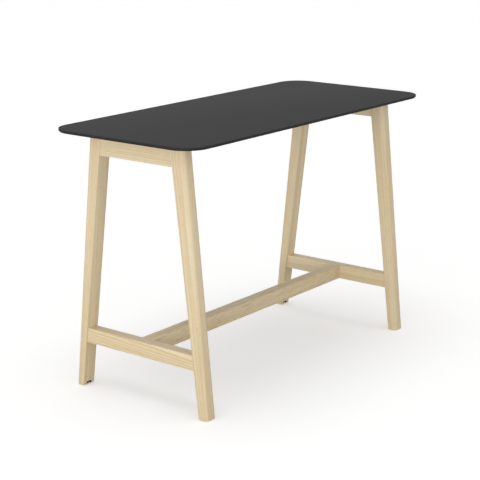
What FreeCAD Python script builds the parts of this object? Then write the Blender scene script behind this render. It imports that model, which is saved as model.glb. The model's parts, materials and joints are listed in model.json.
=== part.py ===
import FreeCAD, Part
import math
import os

# Standing-height meeting table: a thin laminate top on two ash end frames joined by a stretcher.
# Millimetres. X runs along the top, Y from front to rear, Z up. The origin is on the floor,
# under the middle of the table. Left is -X, right is +X, front is -Y and rear is +Y.

# ---------------------------------------------------------------- driving dimensions

# Top
TABLE_HEIGHT = 1050.0
TOP_LENGTH = 1600.0
TOP_WIDTH = 700.0
TOP_THICKNESS = 12.0
TOP_CORNER_RADIUS = 100.0
TOP_UNDER_BEVEL = 4.0  # chamfer round the lower edge
TOP_UPPER_ARRIS = 0.8  # small round on the upper edge

# Legs
FRAME_INSET = 98.0  # end of the top to the outer face of the legs
LEG_WIDTH = 60.0  # along X
LEG_TOP_DEPTH = 62.0  # along Y, under the top
LEG_FOOT_DEPTH = 40.0  # along Y, at the floor
FOOT_INSET = 14.0  # edge of the top to the outer face of a foot, along Y
LEG_LEAN = 127.5  # how far a leg's inner face comes inwards from the floor to the top
LEG_ROUND = 20.0  # both corners of the side that faces away from the table
LEG_ARRIS = 1.2
FOOT_GAP = 2.0  # leg to floor, with the glides screwed right in

# Rails and stretcher
RAIL_THICKNESS = 48.0
RAIL_RECESS = 3.0  # rail behind the outer face of the legs
RAIL_ARRIS = 1.5
UPPER_RAIL_HEIGHT = 88.0
LOWER_RAIL_HEIGHT = 60.0
LOWER_RAIL_BOTTOM = 188.0
STRETCHER_WIDTH = 48.0

# Loose tenons between legs and rails
TENON_THICKNESS = 12.0
TENON_DEPTH = 26.0  # into each of the two pieces
UPPER_TENON_HEIGHT = 60.0
LOWER_TENON_HEIGHT = 36.0
TENON_EDGE_FLAT = 0.2  # between the two rounds of a tenon's edge
GLUE_CLEARANCE = 0.1  # all round a tenon, dowel or pressed insert

# Stretcher joint: two dowels and a stud to each end
DOWEL_DIAMETER = 10.0
DOWEL_DEPTH = 24.0  # into each of the two pieces
DOWEL_SPACING = 30.0
STUD_DIAMETER = 8.0
STUD_HOLE_CLEARANCE = 0.5
STUD_INSERT_DIAMETER = 14.0
STUD_INSERT_LENGTH = 20.0
POCKET_DIAMETER = 26.0
POCKET_DISTANCE = 44.0  # end of the stretcher to the middle of the pocket
POCKET_ROOF = 16.0  # wood left above the pocket
HALF_MOON_THICKNESS = 6.0
HALF_MOON_HEIGHT = 20.0
STUD_NUT_ACROSS_FLATS = 13.0
STUD_NUT_HEIGHT = 6.5
STUD_TAIL = 2.0  # stud beyond its nut

# Steel beams under the top
BEAM_WIDTH = 40.0
BEAM_HEIGHT = 30.0
BEAM_WALL = 2.0
BEAM_CORNER_RADIUS = 4.0
PLATE_THICKNESS = 4.0
PLATE_HEIGHT = 38.0
PLATE_LEG_GAP = 22.5  # side of the plate to the nearer leg, under the top
PLATE_MARGIN = 10.0  # edge of the plate beyond the middle of a screw
PLATE_SCREW_OFFSET = 11.0  # side of the beam to the middle of a screw
PLATE_TOP_GAP = 2.0  # plate below the top
PLATE_SCREW_LENGTH = 20.0  # under the head

# Angle brackets between the upper rails and the top
BRACKET_WIDTH = 44.0
BRACKET_LEG = 36.0
BRACKET_THICKNESS = 3.0
BRACKET_BEND_RADIUS = 3.0
BRACKET_SCREW_SPACING = 26.0
BRACKET_SCREW_REACH = 22.0  # bend to the middle of a screw

# Holes and heads of all screws
SCREW_HOLE_CLEARANCE = 0.3
SCREW_HEAD_CHAMFER = 0.9
THREAD_CLEARANCE = 0.05

# M6 screws and their threaded inserts
M6_DIAMETER = 6.0
M6_HEAD_DIAMETER = 10.5
M6_HEAD_HEIGHT = 3.3
M6_HEX_SOCKET = 4.0
M6_SOCKET_DEPTH = 2.0
TOP_INSERT_DIAMETER = 9.0
TOP_INSERT_LENGTH = 8.0
TOP_SCREW_END_GAP = 1.0  # screw end below the end of its insert
BEAM_SCREW_SPACING = 500.0
RAIL_INSERT_DIAMETER = 10.0
RAIL_INSERT_LENGTH = 18.0
INSERT_HOLE_EXTRA = 4.0  # hole beyond an insert in wood

# Wood screws
WOOD_SCREW_DIAMETER = 4.5
WOOD_SCREW_LENGTH = 30.0
WOOD_SCREW_TIP = 6.0
WOOD_SCREW_TIP_DIAMETER = 0.4
WOOD_SCREW_HEAD_DIAMETER = 9.0
WOOD_SCREW_HEAD_HEIGHT = 2.8
WOOD_SCREW_HEX_SOCKET = 3.0
WOOD_SCREW_SOCKET_DEPTH = 1.4

# Levelling glides
PAD_DIAMETER = 28.0
PAD_HEIGHT = 9.0
PAD_CHAMFER = 1.2
PAD_CLEARANCE = 1.5  # round the pad, in the lined recess of the foot
LINER_WALL = 1.2  # plastic lining of the recess and of the spanner notch
PAD_SOLE = 3.0  # plastic under the stem's ball
BALL_DIAMETER = 11.0
BALL_CLEARANCE = 0.1
NECK_DIAMETER = 8.0
NECK_LENGTH = 2.0
STEM_DIAMETER = 8.0
STEM_HEX_ACROSS_FLATS = 13.0
STEM_HEX_HEIGHT = 4.0
STEM_THREAD_LENGTH = 33.0  # above the hexagon
STEM_TIP_CHAMFER = 1.0
GLIDE_STOP_GAP = 0.3  # hexagon below its insert, screwed right in
GLIDE_INSERT_DIAMETER = 12.0
GLIDE_INSERT_LENGTH = 20.0
GLIDE_INSERT_FLANGE_DIAMETER = 16.0
GLIDE_INSERT_FLANGE_HEIGHT = 1.5
STEM_END_ROOM = 4.0  # bore above the end of the stem
SPANNER_NOTCH_WIDTH = 22.0

# ---------------------------------------------------------------- derived places

X_AXIS = FreeCAD.Vector(1, 0, 0)
Y_AXIS = FreeCAD.Vector(0, 1, 0)
Z_AXIS = FreeCAD.Vector(0, 0, 1)
ORIGIN = FreeCAD.Vector(0, 0, 0)
SIDES = (-1, 1)
IN_PLANE = 0.01  # an edge this close to a plane or point lies on it
LEAN_ALLOWED = 0.2  # sine of the angle that a picked edge may make with its direction

underside = TABLE_HEIGHT - TOP_THICKNESS
frame_outer_x = TOP_LENGTH / 2 - FRAME_INSET
frame_inner_x = frame_outer_x - LEG_WIDTH
rail_outer_x = frame_outer_x - RAIL_RECESS
rail_middle_x = rail_outer_x - RAIL_THICKNESS / 2
rail_inner_x = rail_outer_x - RAIL_THICKNESS
upper_rail_bottom = underside - UPPER_RAIL_HEIGHT
lower_rail_top = LOWER_RAIL_BOTTOM + LOWER_RAIL_HEIGHT
lower_rail_middle_z = LOWER_RAIL_BOTTOM + LOWER_RAIL_HEIGHT / 2

foot_outer_y = TOP_WIDTH / 2 - FOOT_INSET
foot_inner_y = foot_outer_y - LEG_FOOT_DEPTH
foot_x = frame_outer_x - LEG_WIDTH / 2
foot_y = (foot_inner_y + foot_outer_y) / 2
hex_top = PAD_HEIGHT + STEM_HEX_HEIGHT
recess_top = hex_top + GLIDE_STOP_GAP

plate_width = BEAM_WIDTH + 2 * (PLATE_SCREW_OFFSET + PLATE_MARGIN)
beam_y = foot_inner_y - LEG_LEAN - PLATE_LEG_GAP - plate_width / 2
beam_end_x = rail_inner_x - PLATE_THICKNESS
beam_middle_z = underside - BEAM_HEIGHT / 2
plate_middle_z = underside - PLATE_TOP_GAP - PLATE_HEIGHT / 2
plate_screw_y = BEAM_WIDTH / 2 + PLATE_SCREW_OFFSET


# ---------------------------------------------------------------- shapes that repeat


def box(x_range, y_range, z_range):
    """Box between two limits along each axis."""
    (x0, x1), (y0, y1), (z0, z1) = x_range, y_range, z_range
    return Part.makeBox(x1 - x0, y1 - y0, z1 - z0, FreeCAD.Vector(x0, y0, z0))


def centred(middle, width):
    """Limits of a width about its middle."""
    return (middle - width / 2, middle + width / 2)


def rod(diameter, start, length, direction=Z_AXIS):
    """Round bar from a start point along a direction."""
    return Part.makeCylinder(diameter / 2, length, start, direction)


def hexagon_bar(across_flats, height):
    """Hexagonal prism on the origin, along +Z."""
    turn = math.pi / 3
    radius = across_flats / 2 / math.cos(turn / 2)
    corners = [FreeCAD.Vector(radius * math.cos(n * turn), radius * math.sin(n * turn), 0) for n in range(6)]
    return Part.Face(Part.makePolygon(corners + corners[:1])).extrude(Z_AXIS * height)


def aimed(shape, place, direction):
    """Shape made along +Z from the origin, put at a place and turned along a direction."""
    turned = shape.copy()
    turned.Placement = FreeCAD.Placement(place, FreeCAD.Rotation(Z_AXIS, direction))
    return turned


def mirrored(shape, x_side, y_side=1):
    """Shape made on the +X +Y side, mirrored to the side that the signs name."""
    if x_side < 0:
        shape = shape.mirror(ORIGIN, X_AXIS)
    if y_side < 0:
        shape = shape.mirror(ORIGIN, Y_AXIS)
    return shape


def both_ends(shape):
    """Shape made on the +X side, and its mirror on the -X side."""
    return [mirrored(shape, side) for side in SIDES]


def straight_edges(shape, direction, keep):
    """Straight edges along a direction whose middle passes a test."""
    lines = [edge for edge in shape.Edges if isinstance(edge.Curve, Part.Line)]
    aligned = [edge for edge in lines if edge.Curve.Direction.cross(direction).Length < LEAN_ALLOWED]
    return [edge for edge in aligned if keep(edge.CenterOfMass)]


def circles(shape):
    """Full or part circles among a shape's edges."""
    return [edge for edge in shape.Edges if isinstance(edge.Curve, Part.Circle)]


def drilled_insert(outer_diameter, bore_diameter, length):
    """Threaded sleeve from the origin along +Z."""
    sleeve = rod(outer_diameter, ORIGIN, length)
    return sleeve.cut(rod(bore_diameter + 2 * THREAD_CLEARANCE, ORIGIN, length))


def cap_screw(shank_diameter, length, head_diameter, head_height, hex_socket, socket_depth):
    """Screw along +Z with its head just below the origin, and a hexagonal socket in the head."""
    head = rod(head_diameter, FreeCAD.Vector(0, 0, -head_height), head_height)
    rim = [edge for edge in circles(head) if edge.CenterOfMass.z < -SCREW_HEAD_CHAMFER]
    head = head.makeChamfer(SCREW_HEAD_CHAMFER, rim)
    socket = hexagon_bar(hex_socket, socket_depth)
    socket.translate(FreeCAD.Vector(0, 0, -head_height))
    return head.fuse(rod(shank_diameter, ORIGIN, length)).cut(socket).removeSplitter()


def m6_screw(length):
    """M6 button-head screw along +Z, seated at the origin."""
    return cap_screw(M6_DIAMETER, length, M6_HEAD_DIAMETER, M6_HEAD_HEIGHT, M6_HEX_SOCKET, M6_SOCKET_DEPTH)


def m6_hole(start, length, direction):
    """Clearance hole for an M6 screw."""
    return rod(M6_DIAMETER + 2 * SCREW_HOLE_CLEARANCE, start, length, direction)


# ---------------------------------------------------------------- end frames


def leg_inner_y(z):
    """Distance of a leg's inner face from the middle of the table, at a height."""
    return foot_inner_y - LEG_LEAN * z / underside


def leg_outer_y(z):
    """Distance of a leg's outer face from the middle of the table, at a height."""
    return leg_inner_y(z) + LEG_FOOT_DEPTH + (LEG_TOP_DEPTH - LEG_FOOT_DEPTH) * z / underside


def side_profile(points, x_start, width):
    """Solid with a straight-sided outline in the YZ plane, given a width along +X."""
    corners = [FreeCAD.Vector(x_start, y, z) for y, z in points + points[:1]]
    return Part.Face(Part.makePolygon(corners)).extrude(X_AXIS * width)


def tenon(height, middle_z, clearance=0.0):
    """Loose tenon with round edges, half in the leg and half in the rail, or its mortise."""
    thickness, height = TENON_THICKNESS + 2 * clearance, height + 2 * clearance
    joint_y, reach = leg_inner_y(middle_z), TENON_DEPTH + clearance
    bar = box(centred(rail_middle_x, thickness), centred(joint_y, 2 * reach), centred(middle_z, height))
    round_radius = (thickness - TENON_EDGE_FLAT) / 2
    return bar.makeFillet(round_radius, straight_edges(bar, Y_AXIS, lambda middle: True))


upper_tenon_z = underside - UPPER_RAIL_HEIGHT / 2
TENONS = ((UPPER_TENON_HEIGHT, upper_tenon_z), (LOWER_TENON_HEIGHT, lower_rail_middle_z))


def leg_blank():
    """Rear right leg without its cuts: tapered, leaning, with a rounded outer side."""
    outline = [(leg_inner_y(z), z) for z in (FOOT_GAP, underside)]
    outline += [(leg_outer_y(z), z) for z in (underside, FOOT_GAP)]
    solid = side_profile(outline, frame_inner_x, LEG_WIDTH)
    outer = straight_edges(solid, Z_AXIS, lambda middle: middle.y > leg_inner_y(middle.z) + LEG_ARRIS)
    solid = solid.makeFillet(min(LEG_ROUND, LEG_WIDTH / 2 - LEG_ARRIS), outer)
    inner = straight_edges(solid, Z_AXIS, lambda middle: middle.y < leg_inner_y(middle.z) + LEG_ARRIS)
    return solid.makeFillet(LEG_ARRIS, inner)


def leg():
    """Rear right leg with its mortises and its foot."""
    solid = leg_blank()
    for height, middle_z in TENONS:
        solid = solid.cut(tenon(height, middle_z, GLUE_CLEARANCE))
    return solid.cut(foot_cuts())


def foot_hollow(extra):
    """Round recess of the rear right foot and its notch for a spanner, wider all round by an amount."""
    recess = rod(PAD_DIAMETER + 2 * (PAD_CLEARANCE + extra), FreeCAD.Vector(foot_x, foot_y, 0), recess_top)
    notch_width = centred(foot_x, SPANNER_NOTCH_WIDTH + 2 * extra)
    return recess.fuse(box(notch_width, (foot_y - LEG_FOOT_DEPTH, foot_y), (0, recess_top)))


def foot_cuts():
    """Hollow for the lining, and bore for the insert and stem, in one leg."""
    foot = FreeCAD.Vector(foot_x, foot_y, 0)
    flange_depth = recess_top + GLIDE_INSERT_FLANGE_HEIGHT
    flange = rod(GLIDE_INSERT_FLANGE_DIAMETER + 2 * GLUE_CLEARANCE, foot, flange_depth)
    insert = rod(GLIDE_INSERT_DIAMETER + 2 * GLUE_CLEARANCE, foot, recess_top + GLIDE_INSERT_LENGTH)
    stem = rod(STEM_DIAMETER + 2 * STUD_HOLE_CLEARANCE, foot, hex_top + STEM_THREAD_LENGTH + STEM_END_ROOM)
    return foot_hollow(LINER_WALL + GLUE_CLEARANCE).multiFuse([flange, insert, stem])


def foot_liner():
    """Plastic lining round the recess and notch of the rear right foot, flush with the wood."""
    return leg_blank().common(foot_hollow(LINER_WALL)).cut(foot_hollow(0))


def rail(bottom, height):
    """Rail of the right end frame, cut to the lean of the legs at both ends."""
    top = bottom + height
    outline = [(-leg_inner_y(bottom), bottom), (leg_inner_y(bottom), bottom)]
    outline += [(leg_inner_y(top), top), (-leg_inner_y(top), top)]
    return side_profile(outline, rail_inner_x, RAIL_THICKNESS)


def with_mortises(solid, height, middle_z):
    """Rail with a mortise in each end."""
    mortise = tenon(height, middle_z, GLUE_CLEARANCE)
    return solid.cut(mortise).cut(mirrored(mortise, 1, -1))


def upper_rail():
    """Upper rail of the right end frame, with the holes for the beams and the bracket."""
    solid = rail(upper_rail_bottom, UPPER_RAIL_HEIGHT)
    lower_edges = straight_edges(solid, Y_AXIS, lambda middle: middle.z < upper_rail_bottom + RAIL_ARRIS)
    solid = solid.makeFillet(RAIL_ARRIS, lower_edges)
    solid = with_mortises(solid, UPPER_TENON_HEIGHT, upper_tenon_z)
    for place in plate_screw_places():
        hole_depth = RAIL_INSERT_LENGTH + INSERT_HOLE_EXTRA
        solid = solid.cut(rod(RAIL_INSERT_DIAMETER + 2 * GLUE_CLEARANCE, place, hole_depth, X_AXIS))
    for place in bracket_rail_places():
        solid = solid.cut(aimed(wood_screw_hole(), place, X_AXIS))
    return solid


def lower_rail():
    """Lower rail of the right end frame, with the holes for the stretcher's dowels and stud."""
    solid = rail(LOWER_RAIL_BOTTOM, LOWER_RAIL_HEIGHT)
    solid = solid.makeFillet(RAIL_ARRIS, straight_edges(solid, Y_AXIS, lambda middle: True))
    solid = with_mortises(solid, LOWER_TENON_HEIGHT, lower_rail_middle_z)
    for hole in dowels(GLUE_CLEARANCE):
        solid = solid.cut(hole)
    hole_depth = STUD_INSERT_LENGTH + INSERT_HOLE_EXTRA
    return solid.cut(rod(STUD_INSERT_DIAMETER + 2 * GLUE_CLEARANCE, stud_mouth, hole_depth, X_AXIS))


# ---------------------------------------------------------------- stretcher and its joints

stud_mouth = FreeCAD.Vector(rail_inner_x, 0, lower_rail_middle_z)
pocket_x = rail_inner_x - POCKET_DISTANCE
pocket_top = lower_rail_top - POCKET_ROOF
half_moon_face_x = pocket_x + POCKET_DIAMETER / 2 - HALF_MOON_THICKNESS
stud_end_x = half_moon_face_x - STUD_NUT_HEIGHT - STUD_TAIL


def dowels(clearance=0.0):
    """Two dowels across the right-hand joint of the stretcher, or the holes for them."""
    reach = DOWEL_DEPTH + clearance
    start_x, diameter = rail_inner_x - reach, DOWEL_DIAMETER + 2 * clearance
    starts = [FreeCAD.Vector(start_x, side * DOWEL_SPACING / 2, lower_rail_middle_z) for side in SIDES]
    return [rod(diameter, start, 2 * reach, X_AXIS) for start in starts]


def stretcher():
    """Stretcher with a stud bore, two dowel holes and a nut pocket at each end."""
    half_width = STRETCHER_WIDTH / 2
    solid = box((-rail_inner_x, rail_inner_x), (-half_width, half_width), (LOWER_RAIL_BOTTOM, lower_rail_top))
    solid = solid.makeFillet(RAIL_ARRIS, straight_edges(solid, X_AXIS, lambda middle: True))
    bore_end = FreeCAD.Vector(stud_end_x, 0, lower_rail_middle_z)
    bore = rod(STUD_DIAMETER + 2 * STUD_HOLE_CLEARANCE, bore_end, rail_inner_x - stud_end_x, X_AXIS)
    pocket_start = FreeCAD.Vector(pocket_x, 0, LOWER_RAIL_BOTTOM)
    pocket = rod(POCKET_DIAMETER, pocket_start, pocket_top - LOWER_RAIL_BOTTOM)
    for cut in dowels(GLUE_CLEARANCE) + [bore, pocket]:
        for side in SIDES:
            solid = solid.cut(mirrored(cut, side))
    return solid


def stud():
    """Threaded stud from the insert in the right lower rail to just past its nut."""
    stud_length = rail_inner_x + STUD_INSERT_LENGTH - stud_end_x
    return rod(STUD_DIAMETER, FreeCAD.Vector(stud_end_x, 0, lower_rail_middle_z), stud_length, X_AXIS)


def half_moon():
    """Half-moon washer that bears on the round wall of the pocket and gives the nut a flat face."""
    lowest = lower_rail_middle_z - HALF_MOON_HEIGHT / 2
    round_bar = rod(POCKET_DIAMETER, FreeCAD.Vector(pocket_x, 0, lowest), HALF_MOON_HEIGHT)
    wall_x = half_moon_face_x + HALF_MOON_THICKNESS
    z_range = centred(lower_rail_middle_z, HALF_MOON_HEIGHT)
    slab = box((half_moon_face_x, wall_x), centred(0, POCKET_DIAMETER), z_range)
    face_middle = FreeCAD.Vector(half_moon_face_x, 0, lower_rail_middle_z)
    hole = rod(STUD_DIAMETER + 2 * STUD_HOLE_CLEARANCE, face_middle, HALF_MOON_THICKNESS, X_AXIS)
    return round_bar.common(slab).cut(hole)


def stud_insert():
    """Threaded insert in the right lower rail, flush with the rail's inner face."""
    return aimed(drilled_insert(STUD_INSERT_DIAMETER, STUD_DIAMETER, STUD_INSERT_LENGTH), stud_mouth, X_AXIS)


def stud_nut():
    """Nut against the half-moon washer."""
    nut = hexagon_bar(STUD_NUT_ACROSS_FLATS, STUD_NUT_HEIGHT)
    nut = nut.cut(rod(STUD_DIAMETER + 2 * THREAD_CLEARANCE, ORIGIN, STUD_NUT_HEIGHT))
    return aimed(nut, FreeCAD.Vector(half_moon_face_x, 0, lower_rail_middle_z), -X_AXIS)


# ---------------------------------------------------------------- top and what holds it


def beam_screw_places():
    """Points on the underside of the top where a screw comes up through a beam, rear beam first."""
    rear = [FreeCAD.Vector(n * BEAM_SCREW_SPACING, beam_y, underside) for n in (-1, 0, 1)]
    return rear + [FreeCAD.Vector(place.x, -place.y, underside) for place in rear]


def bracket_screw_places():
    """Points on the underside of the top where a screw comes up through a bracket, right end first."""
    screw_x, screw_y = rail_inner_x - BRACKET_SCREW_REACH, BRACKET_SCREW_SPACING / 2
    return [FreeCAD.Vector(-end * screw_x, side * screw_y, underside) for end in SIDES for side in SIDES]


def table_top():
    """Laminate top with rounded corners, a bevelled lower edge and blind holes for its inserts."""
    half_length, half_width = TOP_LENGTH / 2, TOP_WIDTH / 2
    solid = box((-half_length, half_length), (-half_width, half_width), (underside, TABLE_HEIGHT))
    solid = solid.makeFillet(TOP_CORNER_RADIUS, straight_edges(solid, Z_AXIS, lambda middle: True))
    lower_rim = [edge for edge in solid.Edges if edge.BoundBox.ZMax < underside + IN_PLANE]
    solid = solid.makeChamfer(TOP_UNDER_BEVEL, lower_rim)
    upper_rim = [edge for edge in solid.Edges if edge.BoundBox.ZMin > TABLE_HEIGHT - IN_PLANE]
    solid = solid.makeFillet(TOP_UPPER_ARRIS, upper_rim)
    for place in beam_screw_places() + bracket_screw_places():
        solid = solid.cut(rod(TOP_INSERT_DIAMETER + 2 * GLUE_CLEARANCE, place, TOP_INSERT_LENGTH))
    return solid


def beam():
    """Rear beam: rectangular steel tube with a hole through both walls for each top screw."""
    x_range = (-beam_end_x, beam_end_x)
    tube = box(x_range, centred(beam_y, BEAM_WIDTH), centred(beam_middle_z, BEAM_HEIGHT))
    tube = tube.makeFillet(BEAM_CORNER_RADIUS, straight_edges(tube, X_AXIS, lambda middle: True))
    inner_width, inner_height = BEAM_WIDTH - 2 * BEAM_WALL, BEAM_HEIGHT - 2 * BEAM_WALL
    hollow = box(x_range, centred(beam_y, inner_width), centred(beam_middle_z, inner_height))
    inner_radius = BEAM_CORNER_RADIUS - BEAM_WALL
    hollow = hollow.makeFillet(inner_radius, straight_edges(hollow, X_AXIS, lambda middle: True))
    tube = tube.cut(hollow)
    for place in beam_screw_places():
        if place.y > 0:
            tube = tube.cut(m6_hole(place, BEAM_HEIGHT, -Z_AXIS))
    return tube


def plate_screw_places():
    """Points on the inner face of the right upper rail where the plates are screwed on."""
    screw_ys = [beam_side * beam_y + side * plate_screw_y for beam_side in SIDES for side in SIDES]
    return [FreeCAD.Vector(rail_inner_x, screw_y, plate_middle_z) for screw_y in screw_ys]


def beam_plate():
    """End plate of the rear beam at the right upper rail, with its two screw holes."""
    y_range = centred(beam_y, plate_width)
    plate = box((beam_end_x, rail_inner_x), y_range, centred(plate_middle_z, PLATE_HEIGHT))
    plate = plate.makeFillet(BEAM_CORNER_RADIUS, straight_edges(plate, X_AXIS, lambda middle: True))
    for place in plate_screw_places():
        if place.y > 0:
            plate = plate.cut(m6_hole(place, PLATE_THICKNESS, -X_AXIS))
    return plate


def bracket_rail_places():
    """Points on the inner face of the right upper rail where the bracket is screwed on."""
    screw_z = underside - BRACKET_SCREW_REACH
    return [FreeCAD.Vector(rail_inner_x, side * BRACKET_SCREW_SPACING / 2, screw_z) for side in SIDES]


def bracket():
    """Angle bracket between the right upper rail and the top, with two holes in each leg."""
    inside = FreeCAD.Vector(rail_inner_x - BRACKET_THICKNESS, 0, underside - BRACKET_THICKNESS)
    width = centred(0, BRACKET_WIDTH)
    upper = box((rail_inner_x - BRACKET_LEG, rail_inner_x), width, (inside.z, underside))
    lower = box((inside.x, rail_inner_x), width, (underside - BRACKET_LEG, inside.z))
    solid = upper.fuse(lower).removeSplitter()
    bend = straight_edges(solid, Y_AXIS, lambda middle: (middle - inside).Length < IN_PLANE)
    solid = solid.makeFillet(BRACKET_BEND_RADIUS, bend)
    for place in bracket_screw_places():
        if place.x > 0:
            solid = solid.cut(m6_hole(place, BRACKET_THICKNESS, -Z_AXIS))
    for place in bracket_rail_places():
        hole_diameter = WOOD_SCREW_DIAMETER + 2 * SCREW_HOLE_CLEARANCE
        solid = solid.cut(rod(hole_diameter, place, BRACKET_THICKNESS, -X_AXIS))
    return solid


def wood_screw():
    """Pointed wood screw along +Z, seated at the origin."""
    straight = WOOD_SCREW_LENGTH - WOOD_SCREW_TIP
    body = cap_screw(
        WOOD_SCREW_DIAMETER,
        straight,
        WOOD_SCREW_HEAD_DIAMETER,
        WOOD_SCREW_HEAD_HEIGHT,
        WOOD_SCREW_HEX_SOCKET,
        WOOD_SCREW_SOCKET_DEPTH,
    )
    shank_radius, tip_radius = WOOD_SCREW_DIAMETER / 2, WOOD_SCREW_TIP_DIAMETER / 2
    tip = Part.makeCone(shank_radius, tip_radius, WOOD_SCREW_TIP, FreeCAD.Vector(0, 0, straight), Z_AXIS)
    return body.fuse(tip).removeSplitter()


def wood_screw_hole():
    """Pilot hole in the wood behind a bracket, with room for the screw's outline."""
    return rod(WOOD_SCREW_DIAMETER + 2 * THREAD_CLEARANCE, ORIGIN, WOOD_SCREW_LENGTH - BRACKET_THICKNESS)


def plate_screws():
    """Screws through the beams' end plates into the upper rails."""
    screw = m6_screw(PLATE_SCREW_LENGTH)
    heads = [place - X_AXIS * PLATE_THICKNESS for place in plate_screw_places()]
    return [end for head in heads for end in both_ends(aimed(screw, head, X_AXIS))]


def rail_inserts():
    """Threaded inserts in the upper rails, flush with their inner faces."""
    sleeve = drilled_insert(RAIL_INSERT_DIAMETER, M6_DIAMETER, RAIL_INSERT_LENGTH)
    return [end for place in plate_screw_places() for end in both_ends(aimed(sleeve, place, X_AXIS))]


def bracket_wood_screws():
    """Wood screws through the brackets into the upper rails."""
    heads = [place - X_AXIS * BRACKET_THICKNESS for place in bracket_rail_places()]
    return [end for head in heads for end in both_ends(aimed(wood_screw(), head, X_AXIS))]


def beam_top_screws():
    """Long screws up through both walls of the beams into the top."""
    length = BEAM_HEIGHT + TOP_INSERT_LENGTH - TOP_SCREW_END_GAP
    drop = FreeCAD.Vector(0, 0, -BEAM_HEIGHT)
    return [aimed(m6_screw(length), place + drop, Z_AXIS) for place in beam_screw_places()]


def bracket_top_screws():
    """Short screws up through the brackets into the top."""
    length = BRACKET_THICKNESS + TOP_INSERT_LENGTH - TOP_SCREW_END_GAP
    drop = FreeCAD.Vector(0, 0, -BRACKET_THICKNESS)
    return [aimed(m6_screw(length), place + drop, Z_AXIS) for place in bracket_screw_places()]


def top_inserts():
    """Threaded inserts in the underside of the top."""
    sleeve = drilled_insert(TOP_INSERT_DIAMETER, M6_DIAMETER, TOP_INSERT_LENGTH)
    return [aimed(sleeve, place, Z_AXIS) for place in beam_screw_places() + bracket_screw_places()]


# ---------------------------------------------------------------- levelling glides

ball_top = PAD_HEIGHT - NECK_LENGTH


def glide_pad():
    """Plastic pad of the rear right glide, with the socket that holds the stem's ball."""
    foot = FreeCAD.Vector(foot_x, foot_y, 0)
    pad = rod(PAD_DIAMETER, foot, PAD_HEIGHT)
    pad = pad.makeChamfer(PAD_CHAMFER, circles(pad))
    chamber_start = foot + Z_AXIS * PAD_SOLE
    chamber = rod(BALL_DIAMETER + 2 * BALL_CLEARANCE, chamber_start, ball_top + BALL_CLEARANCE - PAD_SOLE)
    mouth = rod(NECK_DIAMETER + 2 * BALL_CLEARANCE, chamber_start, PAD_HEIGHT - PAD_SOLE)
    return pad.cut(chamber).cut(mouth)


def glide_stem():
    """Steel stem of the rear right glide: ball end, neck, hexagon and thread."""
    foot = FreeCAD.Vector(foot_x, foot_y, 0)
    ball = rod(BALL_DIAMETER, foot + Z_AXIS * PAD_SOLE, ball_top - PAD_SOLE)
    neck = rod(NECK_DIAMETER, foot + Z_AXIS * PAD_SOLE, PAD_HEIGHT - PAD_SOLE)
    hexagon = aimed(hexagon_bar(STEM_HEX_ACROSS_FLATS, STEM_HEX_HEIGHT), foot + Z_AXIS * PAD_HEIGHT, Z_AXIS)
    thread = rod(STEM_DIAMETER, ORIGIN, STEM_THREAD_LENGTH)
    end_edges = [edge for edge in circles(thread) if edge.CenterOfMass.z > STEM_TIP_CHAMFER]
    thread = aimed(thread.makeChamfer(STEM_TIP_CHAMFER, end_edges), foot + Z_AXIS * hex_top, Z_AXIS)
    return ball.multiFuse([neck, hexagon, thread]).removeSplitter()


def glide_insert():
    """Flanged threaded insert in the rear right foot."""
    sleeve = rod(GLIDE_INSERT_DIAMETER, ORIGIN, GLIDE_INSERT_LENGTH)
    flange = rod(GLIDE_INSERT_FLANGE_DIAMETER, ORIGIN, GLIDE_INSERT_FLANGE_HEIGHT)
    bore = rod(STEM_DIAMETER + 2 * THREAD_CLEARANCE, ORIGIN, GLIDE_INSERT_LENGTH)
    return aimed(sleeve.fuse(flange).cut(bore), FreeCAD.Vector(foot_x, foot_y, recess_top), Z_AXIS)


# ---------------------------------------------------------------- all nodes

end_names = {-1: "left", 1: "right"}
depth_names = {-1: "front", 1: "rear"}
corners = [(f"{depth_names[y]}_{end_names[x]}", x, y) for x in SIDES for y in SIDES]

nodes = {"table_top": [table_top()], "stretcher": [stretcher()]}
for name, x_side, y_side in corners:
    nodes[f"leg_{name}"] = [mirrored(leg(), x_side, y_side)]
    nodes[f"glide_pad_{name}"] = [mirrored(glide_pad(), x_side, y_side)]
    nodes[f"glide_stem_{name}"] = [mirrored(glide_stem(), x_side, y_side)]
for side, name in end_names.items():
    nodes[f"upper_rail_{name}"] = [mirrored(upper_rail(), side)]
    nodes[f"lower_rail_{name}"] = [mirrored(lower_rail(), side)]
    nodes[f"top_bracket_{name}"] = [mirrored(bracket(), side)]
for side, name in depth_names.items():
    nodes[f"beam_{name}"] = [mirrored(beam(), 1, side)]

quarters = [(x_side, y_side) for name, x_side, y_side in corners]
upper_tenon = tenon(UPPER_TENON_HEIGHT, upper_tenon_z)
lower_tenon = tenon(LOWER_TENON_HEIGHT, lower_rail_middle_z)
nodes["upper_rail_tenons"] = [mirrored(upper_tenon, *quarter) for quarter in quarters]
nodes["lower_rail_tenons"] = [mirrored(lower_tenon, *quarter) for quarter in quarters]
nodes["foot_liners"] = [mirrored(foot_liner(), *quarter) for quarter in quarters]
nodes["glide_inserts"] = [mirrored(glide_insert(), *quarter) for quarter in quarters]
nodes["beam_plates"] = [mirrored(beam_plate(), *quarter) for quarter in quarters]
nodes["stretcher_dowels"] = [end for dowel in dowels() for end in both_ends(dowel)]
nodes["stretcher_studs"] = both_ends(stud())
nodes["stud_half_moons"] = both_ends(half_moon())
nodes["stud_nuts"] = both_ends(stud_nut())
nodes["stud_inserts"] = both_ends(stud_insert())
nodes["plate_screws"] = plate_screws()
nodes["rail_inserts"] = rail_inserts()
nodes["bracket_wood_screws"] = bracket_wood_screws()
nodes["beam_top_screws"] = beam_top_screws()
nodes["bracket_top_screws"] = bracket_top_screws()
nodes["top_inserts"] = top_inserts()

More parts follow.
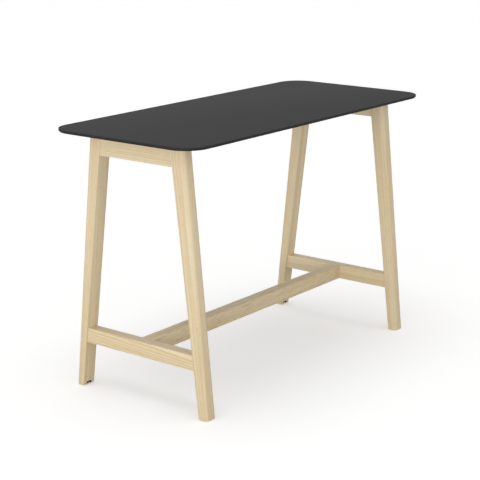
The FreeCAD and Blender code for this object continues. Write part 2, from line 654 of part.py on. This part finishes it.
os.makedirs("parts", exist_ok=True)
for name, solids in nodes.items():
    shape = solids[0] if len(solids) == 1 else Part.makeCompound(solids)
    shape.exportStep(f"parts/{name}.step")
    print(name, len(shape.Solids), "valid" if shape.isValid() else "NOT VALID", round(shape.Volume))
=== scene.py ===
import json
import math

import bmesh
import bpy
from mathutils import Matrix, Vector


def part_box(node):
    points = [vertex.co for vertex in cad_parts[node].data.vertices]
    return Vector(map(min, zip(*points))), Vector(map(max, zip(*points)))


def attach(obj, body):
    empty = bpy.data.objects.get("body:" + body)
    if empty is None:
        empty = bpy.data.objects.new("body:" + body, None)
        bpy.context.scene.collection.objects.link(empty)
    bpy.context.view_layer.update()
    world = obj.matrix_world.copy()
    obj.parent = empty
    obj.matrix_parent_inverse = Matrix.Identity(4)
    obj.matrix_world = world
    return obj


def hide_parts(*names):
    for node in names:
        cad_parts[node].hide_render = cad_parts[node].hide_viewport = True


# Standing meeting table: a laminate top on two ash end frames with a stretcher.
# +Z up, +X along the top, -Y is the front. The frame, the studio and the view are in metres, and the
# dictionaries of the materials and the pieces are in mm.

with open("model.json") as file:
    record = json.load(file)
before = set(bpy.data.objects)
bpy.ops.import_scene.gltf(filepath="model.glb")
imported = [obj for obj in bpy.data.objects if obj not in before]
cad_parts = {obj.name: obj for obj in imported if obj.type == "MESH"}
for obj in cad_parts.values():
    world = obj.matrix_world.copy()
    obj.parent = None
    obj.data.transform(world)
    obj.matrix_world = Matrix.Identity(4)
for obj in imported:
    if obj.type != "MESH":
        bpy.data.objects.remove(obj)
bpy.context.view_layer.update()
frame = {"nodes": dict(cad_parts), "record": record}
mm = 0.001
axisX, axisY, axisZ = Vector((1, 0, 0)), Vector((0, 1, 0)), Vector((0, 0, 1))
ends = {"left": -1, "right": 1}
depths = {"front": -1, "rear": 1}
corners = [(f"{depth}_{end}", x, y) for end, x in ends.items() for depth, y in depths.items()]
print("frame loaded")


# Materials

def linear(hexColour):
    # sRGB hex to the linear colour that a shader takes
    parts = [int(hexColour[i:i + 2], 16) / 255 for i in (1, 3, 5)]
    return [c / 12.92 if c <= 0.04045 else ((c + 0.055) / 1.055) ** 2.4 for c in parts] + [1.0]


def addNode(tree, kind, inputs, stops=(), **settings):
    # inputs takes sockets, which are linked, and plain values; stops are a ramp's places and colours
    node = tree.nodes.new("ShaderNode" + kind)
    for name, value in settings.items():
        setattr(node, name, value)
    for name, value in inputs.items():
        if isinstance(value, bpy.types.NodeSocket):
            tree.links.new(value, node.inputs[name])
        else:
            node.inputs[name].default_value = value
    if stops:  # a new ramp has its first and last stop already
        for place, colour in stops[1:-1]:
            node.color_ramp.elements.new(place).color = linear(colour)
        for index in (0, -1):
            element = node.color_ramp.elements[index]
            element.position, element.color = stops[index][0], linear(stops[index][1])
    return node


def newMaterial(name):
    material = bpy.data.materials.new(name)
    material.use_nodes = True
    tree = material.node_tree
    tree.nodes.clear()
    return material, tree


ash = {  # length along the grain and width across it; a pattern grows from none at low to full at high
    "wander": {"length": 380.0, "width": 40.0, "detail": 2.0},
    "streak": {"length": 700.0, "width": 13.0, "detail": 1.0, "low": 0.3, "high": 0.7},
    "fibre": {"length": 150.0, "width": 2.0, "detail": 3.0, "low": 0.35, "high": 0.75},
    "dash": {"length": 45.0, "width": 2.6, "detail": 1.0, "low": 0.56, "high": 0.7},
    "pore": {"length": 8.0, "width": 0.35, "detail": 1.0, "low": 0.56, "high": 0.68},
    "wanderReach": 9.0,  # how far a ring strays from round
    # across one ring: the dark line at its two sides, and the pores, most of them early in the year
    "lineAcross": [(0.0, "#ffffff"), (0.3, "#000000"), (0.75, "#000000"), (1.0, "#ffffff")],
    "poreZone": {"From Min": 0.4, "From Max": 0.05, "To Min": 0.12, "To Max": 0.8},
    "faintestLine": 0.1,  # as a share of the strongest
    "fibreShare": 0.45,
    "poreDepth": 0.08,
    "poreStrength": 0.35,
    "pale": "#ecdcbc",
    "warm": "#e0caa0",
    "line": "#c4a470",
    "open": "#a98a5c",
    "roughness": 0.5,
    "poreRoughness": 0.7,
    "ior": 1.5,
}
# Real rings are 2 to 3 mm apart, which is too fine to show, so they are drawn wider. lines and dashes
# say how far those marks stand out. A dash is where several rows of pores meet.
ashCuts = {
    "plainAsh": {"ring": 5.5, "lines": 0.4, "dashes": 0.2},
    "linedAsh": {"ring": 7.5, "lines": 1.0, "dashes": 0.3},
    "fleckedAsh": {"ring": 5.5, "lines": 0.3, "dashes": 0.75},
}


def makeAsh(name):
    # Ash, planed, sanded and matt lacquered: pale straight bands with open pores that catch a little light.
    cut = ashCuts[name]
    material, tree = newMaterial(name)
    grain = addNode(tree, "Attribute", {}, attribute_name="grain").outputs["Vector"]

    def stretchedNoise(pattern):
        perLength, perWidth = 1 / (pattern["length"] * mm), 1 / (pattern["width"] * mm)
        scale = (perLength, perWidth, perWidth)
        place = addNode(tree, "Mapping", {"Vector": grain, "Scale": scale}).outputs["Vector"]
        noise = addNode(tree, "TexNoise", {"Vector": place, "Scale": 1.0, "Detail": pattern["detail"]})
        return noise.outputs["Fac"]

    def patternShare(pattern, most):
        return addNode(tree, "MapRange", {
            "Value": stretchedNoise(pattern), "From Min": pattern["low"], "From Max": pattern["high"],
            "To Max": most,
        }).outputs[0]

    # rings: the distance from the pith, strayed a little, counted in years
    across = addNode(tree, "VectorMath", {0: grain, 1: (0, 1, 1)}, operation="MULTIPLY").outputs[0]
    radius = addNode(tree, "VectorMath", {0: across}, operation="LENGTH").outputs["Value"]
    strayed = addNode(
        tree, "Math", {0: stretchedNoise(ash["wander"]), 1: ash["wanderReach"] * mm, 2: radius},
        operation="MULTIPLY_ADD",
    )
    rings = addNode(tree, "Math", {0: strayed.outputs[0], 1: cut["ring"] * mm}, operation="DIVIDE")
    phase = addNode(tree, "Math", {0: rings.outputs[0]}, operation="FRACT").outputs[0]
    year = addNode(tree, "Math", {0: rings.outputs[0]}, operation="FLOOR").outputs[0]
    chance = addNode(tree, "TexWhiteNoise", {"W": year}, noise_dimensions="1D").outputs["Value"]

    # each year's dark line, some faint and some strong
    lineShape = addNode(tree, "ValToRGB", {"Fac": phase}, ash["lineAcross"])
    lineStrength = addNode(tree, "MapRange", {
        "Value": chance, "To Min": ash["faintestLine"] * cut["lines"], "To Max": cut["lines"],
    })
    lines = addNode(
        tree, "Math", {0: lineShape.outputs[0], 1: lineStrength.outputs[0]}, operation="MULTIPLY",
    )
    poreZone = addNode(tree, "MapRange", {"Value": phase, **ash["poreZone"]})
    pores = addNode(
        tree, "Math", {0: patternShare(ash["pore"], 1.0), 1: poreZone.outputs[0]}, operation="MULTIPLY",
    ).outputs[0]

    # the colours, one over the other; a Mix node has them at 6 and 7, and its result at 2
    colour = linear(ash["pale"])
    for share, tone in (
        (patternShare(ash["streak"], 1.0), "warm"),
        (lines.outputs[0], "line"),
        (patternShare(ash["fibre"], ash["fibreShare"]), "warm"),
        (patternShare(ash["dash"], cut["dashes"]), "line"),
        (pores, "open"),
    ):
        layer = addNode(tree, "Mix", {0: share, 6: colour, 7: linear(ash[tone])}, data_type="RGBA")
        colour = layer.outputs[2]

    rough = addNode(tree, "MapRange", {
        "Value": pores, "To Min": ash["roughness"], "To Max": ash["poreRoughness"],
    })
    sunk = addNode(tree, "Math", {0: pores, 1: -1.0}, operation="MULTIPLY")
    bump = addNode(tree, "Bump", {
        "Height": sunk.outputs[0], "Strength": ash["poreStrength"], "Distance": ash["poreDepth"] * mm,
    })
    shader = addNode(tree, "BsdfPrincipled", {
        "Base Color": colour, "Roughness": rough.outputs[0], "IOR": ash["ior"], "Normal": bump.outputs[0],
    })
    addNode(tree, "OutputMaterial", {"Surface": shader.outputs[0]})
    return material


surfaces = {  # mm for the grit, for the slower cloud in the sheen, and for the depth of the grit
    # Compact laminate, pressed, charcoal paper on a black core: dry and matt, with a fine stipple.
    "laminateFace": {
        "colour": "#464647", "fleck": "#4c4c4d", "grit": 0.7, "cloud": 90.0, "depth": 0.04,
        "roughness": 0.85, "sheenChange": 0.01, "ior": 1.45, "specular": 0.04, "metallic": 0.0,
    },
    # The milled side of the same board, rubbed smooth: clearly darker than its face, with a little sheen.
    "laminateEdge": {
        "colour": "#292929", "fleck": "#2f2f2f", "grit": 0.35, "cloud": 40.0, "depth": 0.03,
        "roughness": 0.6, "sheenChange": 0.02, "ior": 1.5, "specular": 0.15, "metallic": 0.0,
    },
    # Its black core, bared by the bevel under the edge: a thin black line all round. The core is real, but
    # the bevel is drawn darker than the milled side above it, which is the same core, because it faces
    # down: painted shade.
    "laminateCorePaintedShade": {
        "colour": "#0d0d0e", "fleck": "#141415", "grit": 0.35, "cloud": 40.0, "depth": 0.03,
        "roughness": 0.5, "sheenChange": 0.02, "ior": 1.5, "specular": 0.1, "metallic": 0.0,
    },
    # Blasted steel with a baked powder coat: near black, with a fine orange peel.
    "powderCoat": {
        "colour": "#1b1b1d", "fleck": "#242427", "grit": 1.1, "cloud": 30.0, "depth": 0.05,
        "roughness": 0.45, "sheenChange": 0.05, "ior": 1.5, "specular": 0.5, "metallic": 0.0,
    },
    # Turned or pressed steel, bright plated: a cool silver with a cloudy sheen.
    "zincPlate": {
        "colour": "#c3c7cc", "fleck": "#aeb3ba", "grit": 0.6, "cloud": 6.0, "depth": 0.01,
        "roughness": 0.34, "sheenChange": 0.05, "ior": 1.5, "specular": 0.5, "metallic": 1.0,
    },
    # Turned steel, blackened and oiled: a deep grey with a satin shine.
    "blackOxide": {
        "colour": "#26272a", "fleck": "#1c1d1f", "grit": 0.5, "cloud": 5.0, "depth": 0.01,
        "roughness": 0.4, "sheenChange": 0.05, "ior": 1.5, "specular": 0.5, "metallic": 1.0,
    },
    # Brass from the lathe: yellow and bright.
    "turnedBrass": {
        "colour": "#cba556", "fleck": "#b58f44", "grit": 0.5, "cloud": 5.0, "depth": 0.01,
        "roughness": 0.3, "sheenChange": 0.05, "ior": 1.5, "specular": 0.5, "metallic": 1.0,
    },
    # Polyamide, injection moulded: black, with a fine eroded grain.
    "mouldedPolyamide": {
        "colour": "#141415", "fleck": "#1c1c1e", "grit": 0.5, "cloud": 8.0, "depth": 0.03,
        "roughness": 0.55, "sheenChange": 0.05, "ior": 1.53, "specular": 0.5, "metallic": 0.0,
    },
}
stipple = {  # the same for all of them: noise from low to high goes from one colour or sheen to the other
    "gritDetail": 2.0,
    "gritLow": 0.35,
    "gritHigh": 0.7,
    "gritStrength": 0.4,
    "cloudDetail": 3.0,
    "cloudLow": 0.3,
    "cloudHigh": 0.7,
}


def makeSurface(name):
    # two close colours in a fine grit, a low relief from the same grit, and a sheen that drifts slowly
    values = surfaces[name]
    material, tree = newMaterial(name)
    place = addNode(tree, "TexCoord", {}).outputs["Object"]
    grit = addNode(tree, "TexNoise", {
        "Vector": place, "Scale": 1 / (values["grit"] * mm), "Detail": stipple["gritDetail"],
    }).outputs["Fac"]
    cloud = addNode(tree, "TexNoise", {
        "Vector": place, "Scale": 1 / (values["cloud"] * mm), "Detail": stipple["cloudDetail"],
    }).outputs["Fac"]
    share = addNode(tree, "MapRange", {
        "Value": grit, "From Min": stipple["gritLow"], "From Max": stipple["gritHigh"],
    })
    tones = {0: share.outputs[0], 6: linear(values["colour"]), 7: linear(values["fleck"])}
    colour = addNode(tree, "Mix", tones, data_type="RGBA")
    rough = addNode(tree, "MapRange", {
        "Value": cloud, "From Min": stipple["cloudLow"], "From Max": stipple["cloudHigh"],
        "To Min": values["roughness"] - values["sheenChange"],
        "To Max": values["roughness"] + values["sheenChange"],
    })
    bump = addNode(tree, "Bump", {
        "Height": grit, "Strength": stipple["gritStrength"], "Distance": values["depth"] * mm,
    })
    shader = addNode(tree, "BsdfPrincipled", {
        "Base Color": colour.outputs[2], "Roughness": rough.outputs[0], "Normal": bump.outputs[0],
        "IOR": values["ior"], "Specular IOR Level": values["specular"], "Metallic": values["metallic"],
    })
    addNode(tree, "OutputMaterial", {"Surface": shader.outputs[0]})
    return material


beech = {  # the tenons lie along Y and the dowels along X, so the flecks are long both ways and thin in Z
    "length": 3.5,
    "width": 0.6,
    "detail": 2.0,
    "low": 0.5,
    "high": 0.7,
    "colour": "#cfa57a",
    "fleck": "#a97a50",
    "roughness": 0.6,
}


def makeBeech():
    # Steamed beech, turned or pressed to size and left bare: pinkish tan with short dark flecks.
    material, tree = newMaterial("bareBeech")
    place = addNode(tree, "TexCoord", {}).outputs["Object"]
    perLength, perWidth = 1 / (beech["length"] * mm), 1 / (beech["width"] * mm)
    scale = (perLength, perLength, perWidth)
    stretched = addNode(tree, "Mapping", {"Vector": place, "Scale": scale}).outputs["Vector"]
    flecks = addNode(tree, "TexNoise", {"Vector": stretched, "Scale": 1.0, "Detail": beech["detail"]})
    share = addNode(tree, "MapRange", {
        "Value": flecks.outputs["Fac"], "From Min": beech["low"], "From Max": beech["high"],
    })
    tones = {0: share.outputs[0], 6: linear(beech["colour"]), 7: linear(beech["fleck"])}
    colour = addNode(tree, "Mix", tones, data_type="RGBA").outputs[2]
    shader = addNode(tree, "BsdfPrincipled", {"Base Color": colour, "Roughness": beech["roughness"]})
    addNode(tree, "OutputMaterial", {"Surface": shader.outputs[0]})
    return material


woods = {name: makeAsh(name) for name in ashCuts}
finishes = {name: makeSurface(name) for name in surfaces}
slotFinishes = {
    "beech": makeBeech(),
    "black_steel": finishes["powderCoat"],
    "black_oxide": finishes["blackOxide"],
    "zinc_steel": finishes["zincPlate"],
    "brass": finishes["turnedBrass"],
    "black_plastic": finishes["mouldedPolyamide"],
}
for subpart in frame["record"]["subparts"]:
    if subpart["material_slot"] in slotFinishes:
        for place in frame["nodes"][subpart["node"]].material_slots:
            place.material = slotFinishes[subpart["material_slot"]]
print("materials made")


# Shared steps

making = {
    "sharpAngle": 30.0,  # degrees, past which an edge isn't shaded smooth
    "rodSegments": 64,
    "edgeCosine": 0.96,  # of 16 degrees, at most, between an edge and what it runs along
    "endCosine": 0.9,  # of 26 degrees, at most, between an end face's normal and the bar
    "trunkCosine": 0.7,  # of 46 degrees; a trunk nearer to X than that is crossed with Z, others with X
    "heightSlack": 0.01,
}


def finishPiece(bm, name, materials, nodes):
    # turns a bmesh into an object that stands for the CAD nodes and rides on the frame
    mesh = bpy.data.meshes.new(name)
    bm.to_mesh(mesh)
    bm.free()
    for material in materials:
        mesh.materials.append(material)
    mesh.shade_smooth()
    mesh.set_sharp_from_angle(angle=math.radians(making["sharpAngle"]))
    piece = bpy.data.objects.new(name, mesh)
    bpy.context.scene.collection.objects.link(piece)
    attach(piece, "frame")
    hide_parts(*nodes)
    return piece


def block(low, high):
    # a bmesh box between two corners
    bm = bmesh.new()
    bmesh.ops.create_cube(bm, size=1, matrix=Matrix.LocRotScale((low + high) / 2, None, high - low))
    return bm


def rod(middle, diameter, length):
    # an upright bmesh cylinder
    bm = bmesh.new()
    radius = diameter / 2
    bmesh.ops.create_cone(
        bm, cap_ends=True, segments=making["rodSegments"], radius1=radius, radius2=radius, depth=length,
        matrix=Matrix.Translation(middle),
    )
    return bm


def roundEdges(bm, edges, width, segments=1):
    # one segment is a flat bevel
    bmesh.ops.bevel(
        bm, geom=edges, offset=width * mm, segments=segments, profile=0.5, affect="EDGES", material=-1,
    )


def edgesAlong(bm, direction):
    found = []
    for edge in bm.edges:
        run = (edge.verts[1].co - edge.verts[0].co).normalized()
        if abs(run.dot(direction)) > making["edgeCosine"]:
            found.append(edge)
    return found


def edgesAtHeight(bm, height):
    slack = making["heightSlack"] * mm
    return [edge for edge in bm.edges if all(abs(vertex.co.z - height) < slack for vertex in edge.verts)]


def breakEnds(bm, direction, width):
    # takes the sharpness off the edges round both end faces
    bm.normal_update()
    endFaces = [face for face in bm.faces if abs(face.normal.dot(direction)) > making["endCosine"]]
    roundEdges(bm, list({edge for face in endFaces for edge in face.edges}), width)


def cutAway(bm, cutters):
    # cuts closed bmeshes out of another with boolean modifiers, and gives the result back
    things = []
    for shape in [bm] + cutters:
        mesh = bpy.data.meshes.new("cutting")
        shape.to_mesh(mesh)
        shape.free()
        thing = bpy.data.objects.new("cutting", mesh)
        bpy.context.scene.collection.objects.link(thing)
        things.append(thing)
    for cutter in things[1:]:
        modifier = things[0].modifiers.new("cut", "BOOLEAN")
        modifier.operation = "DIFFERENCE"
        modifier.solver = "EXACT"
        modifier.object = cutter
    bpy.context.view_layer.update()
    result = bmesh.new()
    result.from_mesh(things[0].evaluated_get(bpy.context.evaluated_depsgraph_get()).to_mesh())
    for thing in things:
        bpy.data.objects.remove(thing)
    return result


def markGrain(piece, along, pith, slide):
    # stores each point's place in the tree: along the trunk, then across it from the pith, in metres
    along = along.normalized()
    across = along.cross(axisX if abs(along.x) < making["trunkCosine"] else axisZ).normalized()
    turn = Matrix((along, across, along.cross(across)))
    values = piece.data.attributes.new("grain", "FLOAT_VECTOR", "POINT").data
    for vertex, value in zip(piece.data.vertices, values):
        value.vector = turn @ (vertex.co - pith) + Vector((slide, 0, 0))


# Table top

top = {
    "cornerRadius": 100.0,
    "cornerSegments": 32,
    "underBevel": 4.0,
    "upperRound": 0.8,
    "upperSegments": 3,
    "flatNormal": 0.99,  # a face is flat, or part of the bevel below, past these heights of its normal
    "paintedShadeNormal": -0.1,
}


def makeTop():
    low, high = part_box("table_top")
    bm = block(low, high)
    roundEdges(bm, edgesAlong(bm, axisZ), top["cornerRadius"], top["cornerSegments"])
    roundEdges(bm, edgesAtHeight(bm, low.z), top["underBevel"])
    roundEdges(bm, edgesAtHeight(bm, high.z), top["upperRound"], top["upperSegments"])
    bm.normal_update()
    layers = [finishes["laminateFace"], finishes["laminateEdge"], finishes["laminateCorePaintedShade"]]
    for face in bm.faces:
        if abs(face.normal.z) > top["flatNormal"]:
            face.material_index = 0
        # faces that look down, on the bevel under the edge, take a near-black colour, darker than the
        # milled side: painted shade
        elif face.normal.z < top["paintedShadeNormal"]:
            face.material_index = 2
        else:
            face.material_index = 1
    finishPiece(bm, "tableTop", layers, ["table_top"])


# Legs

leg = {
    "topDepth": 62.0,
    "footDepth": 40.0,
    "outerRound": 20.0,
    "outerSegments": 14,
    "arris": 1.2,
    "arrisSegments": 3,
    "footArris": 0.8,
    "footSegments": 2,
    "recessDiameter": 33.6,
    "recessTop": 13.3,
    "notchWidth": 24.6,
}
# The pith's place from the middle of the piece, and how far it leans from the piece's own line in mm a
# metre. slide shifts the pattern along the trunk, in metres, so that no two pieces look the same.
legGrain = {
    "front_left": {"pith": (95, 60), "lean": (5, -6), "slide": 0.3},
    "rear_left": {"pith": (-85, 75), "lean": (-6, 3), "slide": 2.1},
    "front_right": {"pith": (105, -65), "lean": (3, 7), "slide": 4.4},
    "rear_right": {"pith": (70, 90), "lean": (-4, -5), "slide": 6.2},
}


def makeLegShape():
    # the rear right leg; the others are its mirror images
    low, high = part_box("leg_rear_right")
    outerFoot, innerTop = high.y, low.y
    innerFoot = outerFoot - leg["footDepth"] * mm
    footMiddle = (innerFoot + outerFoot) / 2
    bm = block(Vector((low.x, innerFoot, low.z)), high)
    uprights = edgesAlong(bm, axisZ)
    outer = [edge for edge in uprights if edge.verts[0].co.y > footMiddle]
    inner = [edge for edge in uprights if edge not in outer]

    # the upper end is made deeper and moved in
    upper = [vertex for vertex in bm.verts if vertex.co.z > (low.z + high.z) / 2]
    bmesh.ops.translate(bm, vec=(0, -innerFoot, 0), verts=upper)
    bmesh.ops.scale(bm, vec=(1, leg["topDepth"] / leg["footDepth"], 1), verts=upper)
    bmesh.ops.translate(bm, vec=(0, innerTop, 0), verts=upper)
    roundEdges(bm, outer, leg["outerRound"], leg["outerSegments"])
    roundEdges(bm, inner, leg["arris"], leg["arrisSegments"])
    roundEdges(bm, edgesAtHeight(bm, low.z), leg["footArris"], leg["footSegments"])

    # a recess for the glide, and a notch to its inner side for a spanner, both cut up from the floor
    foot = Vector(((low.x + high.x) / 2, footMiddle, 0))
    depth = leg["recessTop"] * mm
    recess = rod(foot, leg["recessDiameter"] * mm, 2 * depth)
    half = leg["notchWidth"] / 2 * mm
    notch = block(foot + Vector((-half, -leg["footDepth"] * mm, -depth)), foot + Vector((half, 0, depth)))
    return cutAway(bm, [recess, notch])


def makeLegs():
    for corner, xSide, ySide in corners:
        bm = makeLegShape()
        bmesh.ops.scale(bm, vec=(xSide, ySide, 1), verts=bm.verts)
        bmesh.ops.recalc_face_normals(bm, faces=bm.faces)
        piece = finishPiece(bm, f"leg.{corner}", [woods["plainAsh"]], [f"leg_{corner}"])
        low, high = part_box(f"leg_{corner}")
        values = legGrain[corner]
        leanX, leanY = values["lean"]
        # from foot to top the middle of the leg moves in by this much
        fall = (high.y - low.y - (leg["topDepth"] * mm + leg["footDepth"] * mm) / 2) * -ySide
        along = Vector((leanX * mm, fall / (high.z - low.z) + leanY * mm, 1))
        pith = (low + high) / 2 + Vector((*values["pith"], 0)) * mm
        markGrain(piece, along, pith, values["slide"])


# Rails and stretcher

bar = {"arris": 1.5, "arrisSegments": 3, "endArris": 0.4}
railGrain = {  # as for the legs, with pith and lean across the rail and up
    "upper_rail_left": {"wood": "plainAsh", "pith": (38, -70), "lean": (6, 10), "slide": 8.0},
    "upper_rail_right": {"wood": "plainAsh", "pith": (45, 60), "lean": (-8, 6), "slide": 10.0},
    "lower_rail_left": {"wood": "linedAsh", "pith": (34, 50), "lean": (9, 38), "slide": 12.0},
    "lower_rail_right": {"wood": "plainAsh", "pith": (42, -64), "lean": (5, 9), "slide": 14.0},
}
stretcher = {"pocketDiameter": 26.0, "pocketDistance": 44.0, "pocketRoof": 16.0}
stretcherGrain = {"pith": (30, -55), "lean": (14, 22), "slide": 16.0}


def makeRail(name, slope):
    # slope is how far each end leans in from bottom to top, as a share of the height
    low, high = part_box(name)
    bm = block(low, high)
    shrink = 1 - slope * (high.z - low.z) / high.y
    middle = (low.z + high.z) / 2
    upper = [vertex for vertex in bm.verts if vertex.co.z > middle]
    bmesh.ops.scale(bm, vec=(1, shrink, 1), verts=upper)
    upTo = middle if name.startswith("upper") else high.z + mm  # an upper rail stays sharp against the top
    lengthwise = [edge for edge in edgesAlong(bm, axisY) if edge.verts[0].co.z < upTo]
    roundEdges(bm, lengthwise, bar["arris"], bar["arrisSegments"])
    breakEnds(bm, axisY, bar["endArris"])
    values = railGrain[name]
    piece = finishPiece(bm, name.replace("_", "."), [woods[values["wood"]]], [name])
    leanX, leanZ = values["lean"]
    offsetX, offsetZ = values["pith"]
    pith = (low + high) / 2 + Vector((offsetX, 0, offsetZ)) * mm
    markGrain(piece, Vector((leanX * mm, 1, leanZ * mm)), pith, values["slide"])


def makeStretcher():
    low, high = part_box("stretcher")
    bm = block(low, high)
    roundEdges(bm, edgesAlong(bm, axisX), bar["arris"], bar["arrisSegments"])
    breakEnds(bm, axisX, bar["endArris"])

    # round pockets for the nuts, cut up from the underside near both ends
    depth = high.z - low.z - stretcher["pocketRoof"] * mm
    distance = high.x - stretcher["pocketDistance"] * mm
    places = [Vector((side * distance, 0, low.z)) for side in ends.values()]
    pockets = [rod(place, stretcher["pocketDiameter"] * mm, 2 * depth) for place in places]
    piece = finishPiece(cutAway(bm, pockets), "stretcherBar", [woods["fleckedAsh"]], ["stretcher"])
    leanY, leanZ = stretcherGrain["lean"]
    pith = (low + high) / 2 + Vector((0, *stretcherGrain["pith"])) * mm
    markGrain(piece, Vector((1, leanY * mm, leanZ * mm)), pith, stretcherGrain["slide"])


# the rails end against the inner sides of the legs, so they lean in as those do
legLow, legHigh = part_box("leg_rear_right")
railSlope = (legHigh.y - leg["footDepth"] * mm - legLow.y) / (legHigh.z - legLow.z)
makeTop()
makeLegs()
for railName in railGrain:
    makeRail(railName, railSlope)
makeStretcher()
print("wood and top made")


# Floor, light and camera

studio = {
    "white": "#ffffff",
    "floorSize": 80.0,
    "floorSeen": 0.9,  # by the camera, and with the glow the open floor is just white
    "floorGlow": 0.295,
    "floorBounce": "#cccccc",  # by the light
    "horizon": 1.35,  # strength of the surroundings' light there and overhead
    "zenith": 0.0,
    "softboxPower": 271.0,  # watts
    "softboxPlace": Vector((-8.56, -2.78, 1.3)),  # so near that the far end of the table is a little darker
    "softboxAim": Vector((0.0, 0.0, 0.6)),
    "softboxWidth": 8.0,
    "softboxHeight": 2.4,
    "overheadPower": 1.03,
    "overheadFrom": Vector((-0.09, 0.0, 1.0)),
    "overheadDistance": 3.0,  # changes nothing in a sun's light
    "overheadSpread": 50.0,  # degrees
}


def makeFloor():
    # A pale seamless floor: white where it is lit, grey only under the table.
    material, tree = newMaterial("studioFloor")
    bounce = addNode(tree, "BsdfDiffuse", {"Color": linear(studio["floorBounce"])})
    seen = addNode(tree, "BsdfDiffuse", {"Color": [studio["floorSeen"]] * 3 + [1.0]})
    glow = addNode(tree, "Emission", {"Color": linear(studio["white"]), "Strength": studio["floorGlow"]})
    lit = addNode(tree, "AddShader", {0: seen.outputs[0], 1: glow.outputs[0]})
    byCamera = addNode(tree, "LightPath", {}).outputs["Is Camera Ray"]
    mixed = addNode(tree, "MixShader", {0: byCamera, 1: bounce.outputs[0], 2: lit.outputs[0]})
    addNode(tree, "OutputMaterial", {"Surface": mixed.outputs[0]})
    bm = bmesh.new()
    bmesh.ops.create_grid(bm, x_segments=1, y_segments=1, size=studio["floorSize"] / 2)
    mesh = bpy.data.meshes.new("studioFloor")
    bm.to_mesh(mesh)
    bm.free()
    mesh.materials.append(material)
    floor = bpy.data.objects.new("studioFloor", mesh)
    bpy.context.scene.collection.objects.link(floor)


def makeWorld():
    # Plain pale surroundings, white where the camera, a gloss or a clear piece looks at them.
    world = bpy.data.worlds.new("studioWorld")
    bpy.context.scene.world = world
    world.use_nodes = True
    tree = world.node_tree
    tree.nodes.clear()
    path = addNode(tree, "LightPath", {})
    shown = path.outputs["Is Camera Ray"]
    for ray in ("Is Glossy Ray", "Is Transmission Ray"):
        shown = addNode(tree, "Math", {0: shown, 1: path.outputs[ray]}, operation="MAXIMUM").outputs[0]
    direction = addNode(tree, "TexCoord", {}).outputs["Generated"]
    height = addNode(tree, "SeparateXYZ", {"Vector": direction}).outputs["Z"]
    level = addNode(tree, "MapRange", {
        "Value": height, "To Min": studio["horizon"], "To Max": studio["zenith"],
    })
    light = addNode(tree, "Background", {"Color": linear(studio["white"]), "Strength": level.outputs[0]})
    white = addNode(tree, "Background", {"Color": linear(studio["white"]), "Strength": 1.0})
    mixed = addNode(tree, "MixShader", {0: shown, 1: light.outputs[0], 2: white.outputs[0]})
    addNode(tree, "OutputWorld", {"Surface": mixed.outputs[0]})


def hangLamp(lamp, place, direction):
    # puts a lamp in the scene, shining in a direction
    holder = bpy.data.objects.new(lamp.name, lamp)
    holder.location = place
    holder.rotation_euler = direction.to_track_quat("-Z", "Y").to_euler()
    bpy.context.scene.collection.objects.link(holder)


def makeSoftbox():
    # a long low softbox to the left, a little in front
    lamp = bpy.data.lights.new("softbox", "AREA")
    lamp.shape = "RECTANGLE"
    lamp.size = studio["softboxWidth"]
    lamp.size_y = studio["softboxHeight"]
    lamp.energy = studio["softboxPower"]
    hangLamp(lamp, studio["softboxPlace"], studio["softboxAim"] - studio["softboxPlace"])


def makeOverhead():
    # a broad soft light from high above
    lamp = bpy.data.lights.new("overhead", "SUN")
    lamp.energy = studio["overheadPower"]
    lamp.angle = math.radians(studio["overheadSpread"])
    hangLamp(lamp, studio["overheadFrom"] * studio["overheadDistance"], -studio["overheadFrom"])


view = {
    "azimuth": -52.5,  # degrees from the front, negative to the left
    "elevation": 14.9,
    "distance": 5.795,
    "target": Vector((-0.0251, 0.0289, 0.5026)),
    "lens": 104.5,  # mm, as the sensor
    "sensor": 36.0,
    "clipEnd": 200.0,
}


def makeCamera():
    camera = bpy.data.cameras.new("camera")
    camera.lens = view["lens"]
    camera.sensor_width = view["sensor"]
    camera.clip_end = view["clipEnd"]
    holder = bpy.data.objects.new("camera", camera)
    azimuth, elevation = math.radians(view["azimuth"]), math.radians(view["elevation"])
    level = math.cos(elevation)
    back = Vector((math.sin(azimuth) * level, -math.cos(azimuth) * level, math.sin(elevation)))
    holder.location = view["target"] + back * view["distance"]
    holder.rotation_euler = (-back).to_track_quat("-Z", "Y").to_euler()
    bpy.context.scene.collection.objects.link(holder)
    bpy.context.scene.camera = holder


makeFloor()
makeWorld()
makeSoftbox()
makeOverhead()
makeCamera()
bpy.context.scene.view_settings.view_transform = "Standard"
print("studio made")
